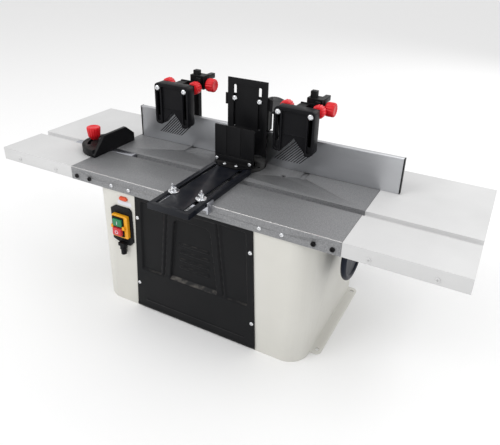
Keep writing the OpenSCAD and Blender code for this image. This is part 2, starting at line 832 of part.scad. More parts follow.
module left_clamp() color("#1a1a1c") clamp(presser[0]);
module right_clamp() color("#1a1a1c") clamp(presser[1]);
module left_clamp_knob() color("red") clamp_knob(presser[0]);
module right_clamp_knob() color("red") clamp_knob(presser[1]);
module left_arm() color("#1a1a1c") arm(presser[0]);
module right_arm() color("#1a1a1c") arm(presser[1]);
module left_comb() color("#1c1c20") comb(presser[0]);
module right_comb() color("#1c1c20") comb(presser[1]);
module left_outer_knob() color("red") comb_knob(presser[0], -1);
module left_inner_knob() color("red") comb_knob(presser[0], 1);
module right_inner_knob() color("red") comb_knob(presser[1], -1);
module right_outer_knob() color("red") comb_knob(presser[1], 1);

// ---- Mitre gauge ----

module mitre_bar() color("silver") {
    slab(pivot_x - 98, pivot_x + 71, mitre_y - 9.2, mitre_y + 9.2, zt - 8.7, zt - 0.1);
    rod_z(pivot_x, mitre_y, zt - cut, zt + 16, pivot_r);
    rod_z(gauge_knob_x, mitre_y, zt - cut, zt + 34, stud_r);
}

module mitre_head() color("#1b1b1d") {
    face = pivot_x + 4;
    difference() {
        translate([pivot_x, mitre_y, fence_z]) linear_extrude(gauge_base_h) intersection() {
            circle(gauge_base_r);
            translate([-70, -70]) square([75, 140]);
        }
        rod_z(pivot_x, mitre_y, zt, zt + 18, pivot_r + fit);
        translate([pivot_x, mitre_y, zt]) rotate([0, 0, 130]) rotate_extrude(angle = 100)
            translate([gauge_arc_r - 3.5, 0]) square([7, 18]);
    }
    along_x(face, face + 8)
        polygon([[-121, fence_z], [14, fence_z], [14, zt + 20], [-13, zt + 42], [-85, zt + 42],
            [-121, zt + 6]]);
    for (s = sides)
        along_y(mitre_y + s * 53 - 2, mitre_y + s * 53 + 2)
            polygon([[face - 14, zt + 15], [face + 1, zt + 15],
                [face + 1, zt + (s > 0 ? 35 : 16)]]);
}

module mitre_knob() color("red") difference() {
    union() {
        rod_z(gauge_knob_x, mitre_y, fence_z + gauge_base_h + gap, zt + 24, 9);
        translate([gauge_knob_x, mitre_y, zt + 22]) cylinder(h = 24, r1 = 14, r2 = 16);
    }
    rod_z(gauge_knob_x, mitre_y, zt + 12, zt + 34.5, stud_r + fit);
}

main_table();
table_insert();
left_extension();
right_extension();
extension_rails();
left_leg();
right_leg();
front_panel();
rear_panel();
pan_screws();
rail_screws();
switch_plate();
switch_housing();
cable_gland();
start_button();
stop_button();
reset_button();
shoe_guide();
guide_columns();
gear_bracket();
shaft_bush();
motor_carriage();
motor();
lead_screw();
cross_shaft();
handwheel();
crank_handle();
spindle();
collet_nut();
cutter();
fence_base();
dust_hood();
guard_bracket();
guard_screws();
guard_plate();
left_fence();
right_fence();
left_fence_knob();
right_fence_knob();
shoe_carrier();
shoe_angle();
shoe_plate();
shoe_screws();
left_wing_nut();
right_wing_nut();
left_clamp();
left_clamp_knob();
left_arm();
left_comb();
left_inner_knob();
left_outer_knob();
right_clamp();
right_clamp_knob();
right_arm();
right_comb();
right_inner_knob();
right_outer_knob();
mitre_bar();
mitre_head();
mitre_knob();
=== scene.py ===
"""A bench-top router table: soft edges, screws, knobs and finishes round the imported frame."""

import json
import math

import bmesh
import bpy
from mathutils import Matrix, Vector

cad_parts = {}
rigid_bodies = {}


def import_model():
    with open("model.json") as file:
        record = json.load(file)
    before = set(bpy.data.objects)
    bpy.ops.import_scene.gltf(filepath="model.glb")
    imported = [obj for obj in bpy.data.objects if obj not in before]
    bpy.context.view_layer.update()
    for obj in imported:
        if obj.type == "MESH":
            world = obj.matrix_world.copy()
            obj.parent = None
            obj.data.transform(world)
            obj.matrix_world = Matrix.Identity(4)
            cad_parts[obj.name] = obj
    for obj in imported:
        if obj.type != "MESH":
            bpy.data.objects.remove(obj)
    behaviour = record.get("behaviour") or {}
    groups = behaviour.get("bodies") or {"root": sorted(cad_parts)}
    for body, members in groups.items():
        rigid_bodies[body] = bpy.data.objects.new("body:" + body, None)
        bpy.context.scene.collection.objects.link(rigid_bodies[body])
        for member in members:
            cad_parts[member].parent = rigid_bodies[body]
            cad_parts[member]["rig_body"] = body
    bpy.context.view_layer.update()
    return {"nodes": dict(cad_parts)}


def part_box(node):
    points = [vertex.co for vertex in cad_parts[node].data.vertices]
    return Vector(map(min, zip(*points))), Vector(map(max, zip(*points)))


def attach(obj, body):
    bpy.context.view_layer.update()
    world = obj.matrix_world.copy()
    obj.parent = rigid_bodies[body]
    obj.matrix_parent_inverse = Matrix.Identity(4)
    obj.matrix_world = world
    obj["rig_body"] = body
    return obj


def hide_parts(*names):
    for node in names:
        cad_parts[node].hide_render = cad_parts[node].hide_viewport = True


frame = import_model()
mm = 0.001
sides = (-1, 1)
table_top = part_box("main_table")[1].z


# ---- Camera, light and floor ----


def set_camera():
    """The camera stands above the right front corner, turned a little about its own line."""
    azimuth, elevation, roll = (math.radians(a) for a in (26.83, 26.26, 1.95))
    back = Vector(
        (
            math.sin(azimuth) * math.cos(elevation),
            -math.cos(azimuth) * math.cos(elevation),
            math.sin(elevation),
        )
    )
    level = (-back).cross(Vector((0, 0, 1))).normalized()
    upright = level.cross(-back)
    right = level * math.cos(roll) + upright * math.sin(roll)
    up = upright * math.cos(roll) - level * math.sin(roll)
    data = bpy.data.cameras.new("table_camera")
    data.lens = 37.43
    data.shift_x = -0.012
    data.shift_y = -0.059
    data.sensor_width = 36
    camera = bpy.data.objects.new("table_camera", data)
    camera.matrix_world = Matrix.Translation((0.5099, -0.9091, 0.7629)) @ Matrix(
        (right, up, back)
    ).transposed().to_4x4()
    bpy.context.scene.collection.objects.link(camera)
    bpy.context.scene.camera = camera


def set_lights():
    """A pale room with one soft key light and two large cards."""
    world = bpy.data.worlds.new("pale_room")
    world.use_nodes = True
    world.node_tree.nodes["Background"].inputs["Color"].default_value = (1.0, 1.0, 1.0, 1)
    world.node_tree.nodes["Background"].inputs["Strength"].default_value = 0.80
    bpy.context.scene.world = world
    cards = [
        ("key_card", (-1.3, -1.9, 2.3), 1.5, 25),
        ("back_card", (0.9, 2.4, 1.7), 1.8, 14),
        ("right_card", (1.5, 0.1, 2.0), 1.1, 9),
    ]
    for name, place, size, power in cards:
        data = bpy.data.lights.new(name, "AREA")
        data.size = size
        data.energy = power
        light = bpy.data.objects.new(name, data)
        light.location = place
        aim = Vector((0, 0, 0.25)) - Vector(place)
        light.rotation_euler = aim.to_track_quat("-Z", "Y").to_euler()
        bpy.context.scene.collection.objects.link(light)
    bpy.context.scene.view_settings.view_transform = "Standard"


def set_floor():
    half = 30
    mesh = bpy.data.meshes.new("pale_floor")
    corners = [(-half, -half, 0), (half, -half, 0), (half, half, 0), (-half, half, 0)]
    mesh.from_pydata(corners, [], [(0, 1, 2, 3)])
    paint = bpy.data.materials.new("floor_white")
    paint.use_nodes = True
    shader = paint.node_tree.nodes["Principled BSDF"]
    shader.inputs["Base Color"].default_value = (0.97, 0.97, 0.97, 1)
    shader.inputs["Roughness"].default_value = 0.9
    mesh.materials.append(paint)
    floor = bpy.data.objects.new("pale_floor", mesh)
    bpy.context.scene.collection.objects.link(floor)


# ---- Surface effects, each a node group built once ----


class Effect:
    """A shader node group under construction: its sockets, its nodes and their links."""

    def __init__(self, name, numbers, outputs):
        self.tree = bpy.data.node_groups.new(name, "ShaderNodeTree")
        for label, value in numbers:
            kind = "NodeSocketVector" if isinstance(value, tuple) else "NodeSocketFloat"
            socket = self.tree.interface.new_socket(label, in_out="INPUT", socket_type=kind)
            socket.default_value = value
        for label in outputs:
            self.tree.interface.new_socket(
                label, in_out="OUTPUT", socket_type="NodeSocketFloat"
            )
        self.given = self.tree.nodes.new("NodeGroupInput").outputs
        self.result = self.tree.nodes.new("NodeGroupOutput").inputs
        self.place = self.tree.nodes.new("ShaderNodeTexCoord").outputs["Object"]

    def node(self, kind, links=(), **settings):
        made = self.tree.nodes.new(kind)
        for key, value in settings.items():
            setattr(made, key, value)
        for socket, source in links:
            if isinstance(source, bpy.types.NodeSocket):
                self.tree.links.new(source, made.inputs[socket])
            else:
                made.inputs[socket].default_value = source
        return made

    def maths(self, operation, first, second):
        made = self.node("ShaderNodeMath", [(0, first), (1, second)], operation=operation)
        return made.outputs[0]

    def send(self, label, source):
        self.tree.links.new(source, self.result[label])


def make_drawn_lines():
    """Fine parallel scratches, as grinding or drawing leaves them, with wide cloudy bands."""
    e = Effect(
        "drawn_lines", [("Stretch", (1.0, 1.0, 1.0)), ("Cloud Scale", 6.0)], ("Lines", "Clouds")
    )
    stretched = e.node(
        "ShaderNodeVectorMath", [(0, e.place), (1, e.given["Stretch"])], operation="MULTIPLY"
    )
    lines = e.node(
        "ShaderNodeTexNoise",
        [("Vector", stretched.outputs[0]), ("Scale", 1.0), ("Detail", 4.0)],
    )
    clouds = e.node(
        "ShaderNodeTexNoise",
        [("Vector", e.place), ("Scale", e.given["Cloud Scale"]), ("Detail", 3.0)],
    )
    e.send("Lines", lines.outputs[0])
    e.send("Clouds", clouds.outputs[0])
    return e.tree


def make_paint_skin():
    """The slight orange peel of sprayed paint, with soft patches of settled dust."""
    e = Effect("paint_skin", [("Peel Scale", 700.0), ("Patch Scale", 9.0)], ("Peel", "Patches"))
    peel = e.node(
        "ShaderNodeTexNoise",
        [("Vector", e.place), ("Scale", e.given["Peel Scale"]), ("Detail", 1.0)],
    )
    patches = e.node(
        "ShaderNodeTexNoise",
        [("Vector", e.place), ("Scale", e.given["Patch Scale"]), ("Detail", 5.0)],
    )
    e.send("Peel", peel.outputs[0])
    e.send("Patches", patches.outputs[0])
    return e.tree


def make_hammer_dimples():
    """Small dimples with a bright rim, as hammered and cast faces have."""
    e = Effect("hammer_dimples", [("Dimple Scale", 420.0)], ("Height", "Specks"))
    cells = e.node(
        "ShaderNodeTexVoronoi",
        [("Vector", e.place), ("Scale", e.given["Dimple Scale"])],
        feature="SMOOTH_F1",
    )
    specks = e.node(
        "ShaderNodeTexNoise",
        [("Vector", e.place), ("Scale", e.given["Dimple Scale"]), ("Detail", 3.0)],
    )
    rough = e.maths("MULTIPLY", specks.outputs[0], 0.35)
    e.send("Height", e.maths("ADD", cells.outputs["Distance"], rough))
    e.send("Specks", specks.outputs[0])
    return e.tree


def make_dust_and_top_light():
    """A mask of fine pale dust on faces that look up; where its amount is large it is also painted
    light that lightens those faces.
    """
    e = Effect("dust_and_top_light", [("Amount", 0.5), ("Dust Scale", 60.0)], ("Mask",))
    facing = e.node("ShaderNodeNewGeometry").outputs["Normal"]
    upward = e.node("ShaderNodeSeparateXYZ", [(0, facing)]).outputs["Z"]
    specks = e.node(
        "ShaderNodeTexNoise",
        [("Vector", e.place), ("Scale", e.given["Dust Scale"]), ("Detail", 6.0)],
    )
    lying = e.node(
        "ShaderNodeMapRange", [("Value", upward), ("From Min", 0.4), ("From Max", 1.0)]
    )
    dusty = e.node(
        "ShaderNodeMapRange",
        [("Value", specks.outputs[0]), ("From Min", 0.42), ("From Max", 0.72)],
    )
    both = e.maths("MULTIPLY", lying.outputs[0], dusty.outputs[0])
    e.send("Mask", e.maths("MULTIPLY", both, e.given["Amount"]))
    return e.tree


drawn_lines = make_drawn_lines()
paint_skin = make_paint_skin()
hammer_dimples = make_hammer_dimples()
dust_and_top_light = make_dust_and_top_light()


# ---- Finishes ----


class Finish:
    """One material: a shader, the effects placed in it and the links between them."""

    def __init__(self, name, **sockets):
        self.material = bpy.data.materials.new(name)
        self.material.use_nodes = True
        self.tree = self.material.node_tree
        self.shader = self.tree.nodes["Principled BSDF"]
        for label, value in sockets.items():
            self.shader.inputs[label.replace("_", " ")].default_value = value

    def effect(self, group, **numbers):
        made = self.tree.nodes.new("ShaderNodeGroup")
        made.node_tree = group
        for label, value in numbers.items():
            made.inputs[label.replace("_", " ")].default_value = value
        return made.outputs

    def spread(self, source, low, high, start=0.3, end=0.7):
        """A value that runs from low to high as the source runs from start to end."""
        made = self.tree.nodes.new("ShaderNodeMapRange")
        self.tree.links.new(source, made.inputs["Value"])
        for label, value in (
            ("From Min", start),
            ("From Max", end),
            ("To Min", low),
            ("To Max", high),
        ):
            made.inputs[label].default_value = value
        return made.outputs[0]

    def blend(self, share, first, second):
        """A colour between two others; each is a colour or a socket."""
        made = self.tree.nodes.new("ShaderNodeMix")
        made.data_type = "RGBA"
        self.tree.links.new(share, made.inputs["Factor"])
        for label, colour in (("A", first), ("B", second)):
            socket = next(s for s in made.inputs if s.name == label and s.type == "RGBA")
            if isinstance(colour, bpy.types.NodeSocket):
                self.tree.links.new(colour, socket)
            else:
                socket.default_value = (*colour, 1)
        return next(s for s in made.outputs if s.type == "RGBA")

    def colour(self, source):
        self.tree.links.new(source, self.shader.inputs["Base Color"])

    def roughness(self, source):
        self.tree.links.new(source, self.shader.inputs["Roughness"])

    def relief(self, source, strength, depth_mm):
        bump = self.tree.nodes.new("ShaderNodeBump")
        bump.inputs["Strength"].default_value = strength
        bump.inputs["Distance"].default_value = depth_mm * mm
        self.tree.links.new(source, bump.inputs["Height"])
        self.tree.links.new(bump.outputs["Normal"], self.shader.inputs["Normal"])


def painted(name, light, dark, rough, peel=0.12, shine=0.3, dust=0.0, patch_scale=9.0):
    f = Finish(name, Specular_IOR_Level=shine)
    skin = f.effect(paint_skin, Patch_Scale=patch_scale)
    tone = f.blend(f.spread(skin["Patches"], 0, 1), light, dark)
    # The dust amount lightens up-facing faces: settled dust, and painted light where the amount is
    # large.
    if dust:
        mask = f.effect(dust_and_top_light, Amount=dust)["Mask"]
        tone = f.blend(mask, tone, (0.42, 0.38, 0.33))
    f.colour(tone)
    f.roughness(f.spread(skin["Patches"], rough - 0.06, rough + 0.08))
    f.relief(skin["Peel"], peel, 0.2)
    return f.material


def moulded(name, light, dark, rough, grain=0.2, shine=0.4, dust=0.0):
    f = Finish(name, Specular_IOR_Level=shine)
    skin = f.effect(paint_skin, Peel_Scale=1500.0, Patch_Scale=25.0)
    tone = f.blend(f.spread(skin["Patches"], 0, 1), light, dark)
    if dust:
        mask = f.effect(dust_and_top_light, Amount=dust)["Mask"]
        tone = f.blend(mask, tone, (0.40, 0.37, 0.33))
    f.colour(tone)
    f.roughness(f.spread(skin["Patches"], rough - 0.05, rough + 0.1))
    f.relief(skin["Peel"], grain, 0.15)
    return f.material


def bare_metal(name, light, dark, rough, stretch, scratch=0.15, cloud_scale=8.0):
    f = Finish(name, Metallic=1.0)
    drawn = f.effect(drawn_lines, Stretch=stretch, Cloud_Scale=cloud_scale)
    f.colour(f.blend(f.spread(drawn["Clouds"], 0, 1), light, dark))
    f.roughness(f.spread(drawn["Lines"], rough - 0.07, rough + 0.1))
    f.relief(drawn["Lines"], scratch, 0.05)
    return f.material


def ground_iron():
    """The ground table top: brown-grey with random lighter stains, and a painted reflection that
    turns it from darker brown on the left to lighter grey on the right.
    """
    f = Finish("ground_iron", Metallic=1.0)
    drawn = f.effect(drawn_lines, Stretch=(12.0, 900.0, 12.0), Cloud_Scale=5.0)
    stains = f.effect(paint_skin, Patch_Scale=14.0)["Patches"]
    place = f.tree.nodes.new("ShaderNodeTexCoord").outputs["Object"]
    parted = f.tree.nodes.new("ShaderNodeSeparateXYZ")
    f.tree.links.new(place, parted.inputs[0])
    # Painted reflection: the colour runs from darker brown at the left end to lighter grey at the
    # right end, as a lit room mirrored in the top would make it.
    along = f.spread(parted.outputs["X"], 0, 1, -0.2, 0.3)
    base = f.blend(along, (0.148, 0.133, 0.115), (0.145, 0.142, 0.141))
    stains_and_painted_reflection = f.blend(f.spread(stains, 0, 0.4, 0.45, 0.7), base, (0.23, 0.213, 0.196))
    f.colour(f.blend(f.spread(drawn["Clouds"], 0, 0.35), stains_and_painted_reflection, (0.10, 0.09, 0.078)))
    f.roughness(f.spread(drawn["Lines"], 0.27, 0.42))
    f.relief(drawn["Lines"], 0.12, 0.05)
    return f.material


def hammered_side():
    f = Finish("hammered_grey", Metallic=0.35, Specular_IOR_Level=0.5)
    dimples = f.effect(hammer_dimples, Dimple_Scale=520.0)
    f.colour(f.blend(f.spread(dimples["Specks"], 0, 1), (0.30, 0.305, 0.31), (0.20, 0.20, 0.21)))
    f.roughness(f.spread(dimples["Specks"], 0.42, 0.58))
    f.relief(dimples["Height"], 0.35, 0.3)
    return f.material


def cast_skin(name, light, dark, rough):
    f = Finish(name, Metallic=0.8)
    dimples = f.effect(hammer_dimples, Dimple_Scale=800.0)
    f.colour(f.blend(f.spread(dimples["Specks"], 0, 1), light, dark))
    f.roughness(f.spread(dimples["Specks"], rough, rough + 0.12))
    f.relief(dimples["Height"], 0.3, 0.2)
    return f.material


ground_top = ground_iron()
hammered_grey = hammered_side()
# A bright metal colour for the front corner chamfer: a painted highlight along the ground edge.
corner_painted_highlight = bare_metal(
    "corner_painted_highlight", (0.72, 0.71, 0.70), (0.60, 0.59, 0.58), 0.25, (30.0, 30.0, 900.0)
)
cream_enamel = painted("cream_enamel", (0.70, 0.69, 0.645), (0.66, 0.65, 0.605), 0.42)
white_enamel = painted("white_enamel", (0.66, 0.66, 0.66), (0.62, 0.62, 0.62), 0.5)
black_enamel = painted(
    "black_enamel", (0.007, 0.007, 0.008), (0.005, 0.005, 0.006), 0.42, shine=0.14, dust=0.03
)
# The panel's large dust amount lightens its up-facing ledges: partly settled dust, partly painted
# light where the lamps leave them dark.
panel_black = painted(
    "panel_black", (0.007, 0.007, 0.008), (0.005, 0.0055, 0.0065), 0.36, 0.2, 0.14, 0.45
)
navy_enamel = painted("navy_enamel", (0.008, 0.011, 0.022), (0.005, 0.007, 0.015), 0.4, shine=0.15)
black_moulding = moulded(
    "black_moulding", (0.007, 0.007, 0.0085), (0.005, 0.005, 0.0065), 0.42, shine=0.14, dust=0.02
)
channel_black = painted(
    "channel_black", (0.006, 0.0075, 0.012), (0.004, 0.005, 0.009), 0.32, shine=0.22, dust=0.03
)
red_moulding = moulded("red_moulding", (0.78, 0.012, 0.022), (0.66, 0.010, 0.016), 0.34)
orange_moulding = moulded("orange_moulding", (0.72, 0.085, 0.02), (0.62, 0.06, 0.015), 0.30)
green_moulding = moulded("green_moulding", (0.02, 0.26, 0.11), (0.015, 0.20, 0.085), 0.28)
stop_moulding = moulded("stop_moulding", (0.72, 0.05, 0.06), (0.62, 0.04, 0.05), 0.28)
yellow_moulding = moulded("yellow_moulding", (0.90, 0.42, 0.015), (0.82, 0.36, 0.010), 0.32)
label_white = moulded("label_white", (0.74, 0.74, 0.80), (0.68, 0.68, 0.75), 0.45, grain=0.05)
satin_alloy = bare_metal(
    "satin_alloy", (0.60, 0.61, 0.63), (0.52, 0.53, 0.55), 0.36, (6.0, 6.0, 1400.0), 0.10, 4.0
)
turned_steel = bare_metal(
    "turned_steel", (0.50, 0.50, 0.51), (0.40, 0.40, 0.41), 0.26, (60.0, 60.0, 1400.0)
)
drawn_bar = bare_metal(
    "drawn_bar", (0.55, 0.56, 0.60), (0.45, 0.46, 0.50), 0.3, (20.0, 1400.0, 1400.0)
)
zinc_plate = bare_metal(
    "zinc_plate", (0.86, 0.87, 0.89), (0.70, 0.71, 0.73), 0.20, (300.0, 300.0, 300.0), 0.05, 90.0
)
# A light grey for the milled slot floors in front of the fence: a painted reflection, lighter than
# the ground iron around it.
slot_floor_painted_reflection = painted("slot_floor_painted_reflection", (0.42, 0.43, 0.46), (0.36, 0.37, 0.40), 0.4)
cast_alloy = cast_skin("cast_alloy", (0.46, 0.47, 0.48), (0.36, 0.37, 0.38), 0.42)
turned_bronze = bare_metal(
    "turned_bronze", (0.50, 0.33, 0.13), (0.42, 0.26, 0.10), 0.3, (1400.0, 60.0, 60.0)
)


# ---- Ways of making a piece ----


def link(name, mesh):
    piece = bpy.data.objects.new(name, mesh)
    bpy.context.scene.collection.objects.link(piece)
    return piece


def settle(piece):
    """Turns a piece and its modifiers into a plain mesh."""
    graph = bpy.context.evaluated_depsgraph_get()
    graph.update()
    finished = bpy.data.meshes.new_from_object(piece.evaluated_get(graph))
    piece.modifiers.clear()
    piece.data = finished
    return piece


def join_frame(piece, body, slot, *nodes):
    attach(piece, body)
    if nodes:
        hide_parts(*nodes)
    return piece


def shell(name, points, faces, finish, crease_deg=35):
    """A closed piece from points in metres: outward faces, smooth but for the sharp edges."""
    mesh = bpy.data.meshes.new(name)
    mesh.from_pydata([tuple(p) for p in points], [], faces)
    form = bmesh.new()
    form.from_mesh(mesh)
    bmesh.ops.remove_doubles(form, verts=form.verts, dist=1e-6)
    bmesh.ops.recalc_face_normals(form, faces=form.faces)
    for face in form.faces:
        face.smooth = True
    form.to_mesh(mesh)
    form.free()
    mesh.set_sharp_from_angle(angle=math.radians(crease_deg))
    mesh.materials.append(finish)
    return link(name, mesh)


def along(origin_mm, axis):
    """The matrix that lays a form built along Z onto an axis, from an origin in millimetres."""
    turn = Vector(axis).to_track_quat("Z", "Y").to_matrix().to_4x4()
    return Matrix.Translation(Vector(origin_mm) * mm) @ turn


def band(lower, upper, count):
    """The faces between two rings of points, which start at two places in a list."""
    pairs = [(j, (j + 1) % count) for j in range(count)]
    return [(lower + j, lower + k, upper + k, upper + j) for j, k in pairs]


def turned(profile, flutes=0, depth=0.0, flute_over=9.0, steps=48):
    """Points in millimetres and faces of a form turned about Z from (height, radius) pairs.

    Flutes sink into what is wider than flute_over.
    """
    count = flutes * 8 if flutes else steps
    points, faces = [], []
    for height, radius in profile:
        for j in range(count):
            angle = 2 * math.pi * j / count
            sink = 0.0
            if flutes and radius > flute_over:
                sink = depth * (0.5 - 0.5 * math.cos(flutes * angle)) ** 2
            r = radius - sink
            points.append((r * math.cos(angle), r * math.sin(angle), height))
    for i in range(len(profile) - 1):
        faces += band(i * count, (i + 1) * count, count)
    faces.append(tuple(range(count - 1, -1, -1)))
    faces.append(tuple((len(profile) - 1) * count + j for j in range(count)))
    return points, faces


def turned_piece(name, profile, origin_mm, axis, finish, crease_deg=35, **flute):
    points, faces = turned(profile, **flute)
    place = along(origin_mm, axis)
    return shell(name, [place @ (Vector(p) * mm) for p in points], faces, finish, crease_deg)


def mark_long_edges(form, crease, smallest=14 * mm):
    """Marks the sharp edges for rounding. Those of small holes and bosses stay sharp."""
    weight = form.edges.layers.float.new("bevel_weight_edge")
    waiting = {
        e for e in form.edges if len(e.link_faces) == 2 and e.calc_face_angle(0) > crease
    }
    while waiting:
        chain, ends = [], [waiting.pop()]
        while ends:
            edge = ends.pop()
            chain.append(edge)
            touching = [e for v in edge.verts for e in v.link_edges if e in waiting]
            waiting.difference_update(touching)
            ends += touching
        places = [v.co for edge in chain for v in edge.verts]
        spans = [max(p[i] for p in places) - min(p[i] for p in places) for i in range(3)]
        for edge in chain:
            edge.smooth = max(spans) > smallest
            edge[weight] = float(edge.smooth)


def softened(node, slot, finish, edge_mm=0.5, steps=2, cut_y=None, crease_deg=32):
    """A copy of a CAD node with whole flat faces and rounded edges, which stands for the node.

    What lies in front of cut_y, in millimetres, is left off.
    """
    mesh = frame["nodes"][node].data.copy()
    form = bmesh.new()
    form.from_mesh(mesh)
    bmesh.ops.remove_doubles(form, verts=form.verts, dist=2e-6)
    bmesh.ops.dissolve_limit(
        form, angle_limit=math.radians(0.5), verts=form.verts, edges=form.edges
    )
    if cut_y is not None:
        every = [*form.verts, *form.edges, *form.faces]
        bmesh.ops.bisect_plane(
            form, geom=every, plane_co=(0, cut_y * mm, 0), plane_no=(0, -1, 0), clear_outer=True
        )
        bmesh.ops.holes_fill(form, edges=[e for e in form.edges if e.is_boundary])
    for face in form.faces:
        face.smooth = True
        face.material_index = 0
    mark_long_edges(form, math.radians(crease_deg))
    form.to_mesh(mesh)
    form.free()
    mesh.materials.clear()
    mesh.materials.append(finish)
    piece = link(node + "_finished", mesh)
    rounding = round_edges(piece, edge_mm, steps)
    rounding.limit_method = "WEIGHT"
    rounding.use_clamp_overlap = False
    settle(piece)
    body = frame["nodes"][node]["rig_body"]
    return join_frame(piece, body, slot, node)


def round_edges(piece, edge_mm, steps):
    """Adds the rounding that takes the sharp look off a piece's edges."""
    rounding = piece.modifiers.new("soft_edge", "BEVEL")
    rounding.width = edge_mm * mm
    rounding.segments = steps
    rounding.harden_normals = True
    return rounding


def finish_node(node, finish):
    """A CAD node that keeps its own mesh takes a finish."""
    mesh = frame["nodes"][node].data
    mesh.materials.clear()
    mesh.materials.append(finish)


def build_main_table():
    """The casting: hammered sides, a ground top, milled slots whose floors in front of the fence are
    light grey as a painted reflection, and a front corner strip whose bright metal colour is a
    painted highlight.
    """
    mesh = frame["nodes"]["main_table"].data.copy()
    form = bmesh.new()
    form.from_mesh(mesh)
    bmesh.ops.remove_doubles(form, verts=form.verts, dist=2e-6)
    for face in form.faces:
        x, y, z = face.calc_center_median()
        in_slot = abs(y + 60.5 * mm) < 10 * mm and z > table_top - 10 * mm
        ground = z > table_top - 0.2 * mm or in_slot
        # Slot floors in front of the fence take the light grey of a painted reflection.
        slot_floor = face.normal.z > 0.9 and abs(z - table_top + 3 * mm) < 0.5 * mm
        face.material_index = 2 if slot_floor and y < 60 * mm else int(ground)
        face.smooth = True
    form.to_mesh(mesh)
    form.free()
    mesh.materials.clear()
    for finish in (hammered_grey, ground_top, slot_floor_painted_reflection):
        mesh.materials.append(finish)
    mesh.set_sharp_from_angle(angle=math.radians(32))
    join_frame(link("main_table_finished", mesh), "stand", "ground_iron", "main_table")
    # A thin chamfer strip on the front top edge; its bright colour is a painted highlight.
    low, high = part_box("main_table")
    y, z, proud, leg = low.y / mm, high.z / mm, 0.06, 1.0
    profile = [(y - proud, z - leg), (y - proud, z - 0.3), (y + 0.3, z + proud)]
    profile += [(y + leg, z + proud), (y + 0.2, z - 0.2)]
    points = [(x, b, c) for x in (low.x / mm, high.x / mm) for b, c in profile]
    count = len(profile)
    faces = [(i, (i + 1) % count, (i + 1) % count + count, i + count) for i in range(count)]
    faces += [tuple(range(count)), tuple(range(2 * count - 1, count - 1, -1))]
    corner = shell("front_corner", [Vector(p) * mm for p in points], faces, corner_painted_highlight)
    join_frame(corner, "stand", "ground_iron")


# ---- Screws, set by one Geometry Nodes tree ----


def screw_head(name, profile, recess, sink, rim_share, finish, shank_r=2.4, shank_l=5.0):
    """A screw that stands on Z = 0: a turned head with a sunk recess, and its shank below."""
    rings, count = 9, 48
    radius = max(r for _, r in profile)
    height = max(h for h, _ in profile)
    points, faces = turned([(-shank_l, shank_r), (0, shank_r), *profile], steps=count)
    faces.pop()
    base = len(points) - count
    for i in range(rings - 1, 0, -1):
        share = rim_share * i / rings
        for j in range(count):
            angle = 2 * math.pi * j / count
            x, y = share * radius * math.cos(angle), share * radius * math.sin(angle)
            crown = height + 0.25 * (height - profile[-1][0]) * (1 - share * share)
            points.append((x, y, crown - (sink if recess(x, y) else 0)))
    points.append((0, 0, height - sink))
    for i in range(rings - 1):
        faces += band(base + i * count, base + (i + 1) * count, count)
    last, tip = base + (rings - 1) * count, len(points) - 1
    faces += [(last + j, last + (j + 1) % count, tip) for j in range(count)]
    return shell(name, [Vector(p) * mm for p in points], faces, finish, 40)


def cross_recess(reach, half_width):
    def inside(x, y):
        return math.hypot(x, y) < reach and min(abs(x), abs(y)) < half_width

    return inside


def hex_recess(reach):
    def inside(x, y):
        turn = math.atan2(y, x) % (math.pi / 3) - math.pi / 6
        return math.hypot(x, y) * math.cos(turn) < reach

    return inside


def make_screw_setter():
    """Sets one screw on each point: it stands along the point's facing, turned at random."""
    tree = bpy.data.node_groups.new("screw_setter", "GeometryNodeTree")
    for label, kind, way in (
        ("Points", "NodeSocketGeometry", "INPUT"),
        ("Screw", "NodeSocketObject", "INPUT"),
        ("Finish", "NodeSocketMaterial", "INPUT"),
        ("Turn Seed", "NodeSocketInt", "INPUT"),
        ("Screws", "NodeSocketGeometry", "OUTPUT"),
    ):
        tree.interface.new_socket(label, in_out=way, socket_type=kind)
    new, join = tree.nodes.new, tree.links.new
    given, result = new("NodeGroupInput"), new("NodeGroupOutput")
    screw = new("GeometryNodeObjectInfo")
    facing = new("GeometryNodeInputNamedAttribute")
    facing.data_type = "FLOAT_VECTOR"
    facing.inputs["Name"].default_value = "facing"
    stand = new("FunctionNodeAlignRotationToVector")
    stand.axis = "Z"
    turn = new("FunctionNodeRandomValue")
    turn.data_type = "FLOAT"
    floats = [s for s in turn.inputs if s.type == "VALUE"]
    floats[1].default_value = math.tau
    spin = new("FunctionNodeAxisAngleToRotation")
    spin.inputs["Axis"].default_value = (0, 0, 1)
    both = new("FunctionNodeRotateRotation")
    both.rotation_space = "LOCAL"
    setter = new("GeometryNodeInstanceOnPoints")
    whole, coat = new("GeometryNodeRealizeInstances"), new("GeometryNodeSetMaterial")
    join(given.outputs["Screw"], screw.inputs["Object"])
    join(given.outputs["Turn Seed"], turn.inputs["Seed"])
    vector_out = next(s for s in facing.outputs if s.type == "VECTOR" and s.enabled)
    join(vector_out, stand.inputs["Vector"])
    join(next(s for s in turn.outputs if s.type == "VALUE"), spin.inputs["Angle"])
    join(stand.outputs["Rotation"], both.inputs["Rotation"])
    join(spin.outputs["Rotation"], both.inputs["Rotate By"])
    join(given.outputs["Points"], setter.inputs["Points"])
    join(screw.outputs["Geometry"], setter.inputs["Instance"])
    join(both.outputs["Rotation"], setter.inputs["Rotation"])
    join(setter.outputs["Instances"], whole.inputs["Geometry"])
    join(whole.outputs["Geometry"], coat.inputs["Geometry"])
    join(given.outputs["Finish"], coat.inputs["Material"])
    join(coat.outputs["Geometry"], result.inputs["Screws"])
    return tree


screw_setter = make_screw_setter()


